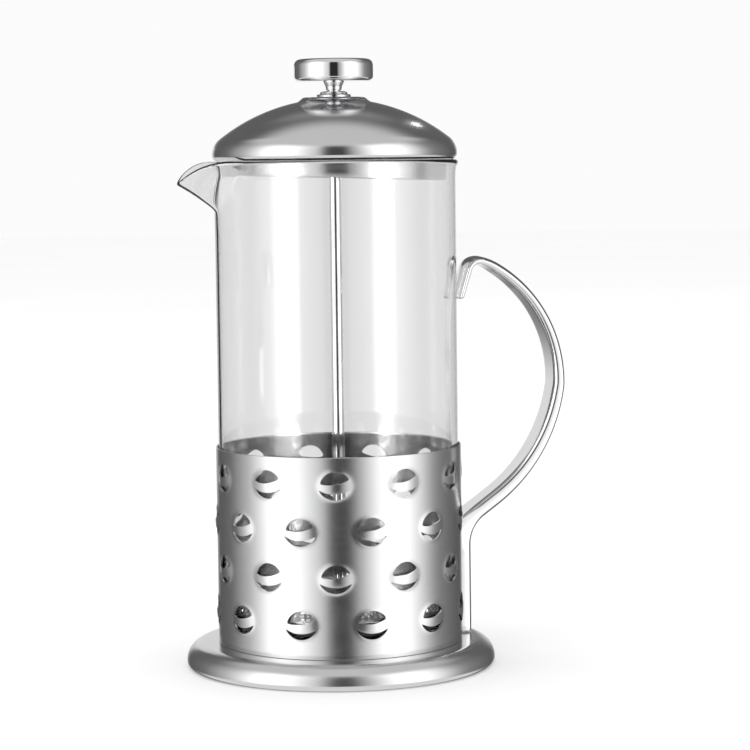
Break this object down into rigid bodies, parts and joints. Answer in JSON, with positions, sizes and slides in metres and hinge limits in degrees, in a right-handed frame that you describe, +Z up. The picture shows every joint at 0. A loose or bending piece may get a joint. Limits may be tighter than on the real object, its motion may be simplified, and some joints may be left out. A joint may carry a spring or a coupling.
{
  "type": "french press",
  "caption": "Glass plunger coffee maker in a perforated steel sleeve with a flanged base, band handle, domed lid and filter plunger.",
  "frame": {"origin": "on the surface the press stands on, on the axis of the beaker", "axes": "+Z up along the plunger rod, +X towards the handle, -X towards the pouring spout"},
  "size_m": [0.1593, 0.124, 0.2424],
  "materials": {
    "satin_steel": "satin brushed stainless steel",
    "polished_steel": "polished stainless steel",
    "chrome": "mirror chrome",
    "spring_steel": "drawn spring wire",
    "screen_mesh": "fine woven stainless wire",
    "glass": "clear borosilicate glass",
    "brass": "turned brass",
    "nylon": "natural nylon",
    "silicone": "matt silicone"
  },
  "bodies": {
    "holder": {"base_flange": "satin_steel", "bottom_plate": "satin_steel", "base_cushion": "silicone", "sleeve": "satin_steel", "handle": "polished_steel"},
    "glass": {"beaker": "glass"},
    "lid": {"lid_dome": "polished_steel", "lid_liner": "satin_steel", "guide_bush": "polished_steel", "guide_washer": "nylon", "guide_nut": "satin_steel"},
    "plunger": {"rod": "polished_steel", "rod_collar": "polished_steel"},
    "knob": {"knob": "chrome", "knob_insert": "brass", "knob_stem": "chrome"},
    "filter": {"coil_plate": "satin_steel", "edge_spring": "spring_steel", "filter_screen": "screen_mesh", "cross_plate": "satin_steel", "hub_boss": "satin_steel"}
  },
  "joints": [
    {"name": "beaker_lift", "type": "slide", "parent": "holder", "child": "glass", "axis": [0, 0, 1], "range_m": [0, 0.1]},
    {"name": "lid_lift", "type": "slide", "parent": "glass", "child": "lid", "axis": [0, 0, 1], "range_m": [0, 0.2]},
    {"name": "plunge", "type": "slide", "parent": "lid", "child": "plunger", "axis": [0, 0, 1], "range_m": [0, 0.16]},
    {"name": "knob_unscrew", "type": "hinge", "parent": "plunger", "child": "knob", "pos_m": [0, 0, 0.2332], "axis": [0, 0, 1], "continuous": true},
    {"name": "filter_unscrew", "type": "hinge", "parent": "plunger", "child": "filter", "pos_m": [0, 0, 0.023], "axis": [0, 0, 1], "continuous": true}
  ]
}
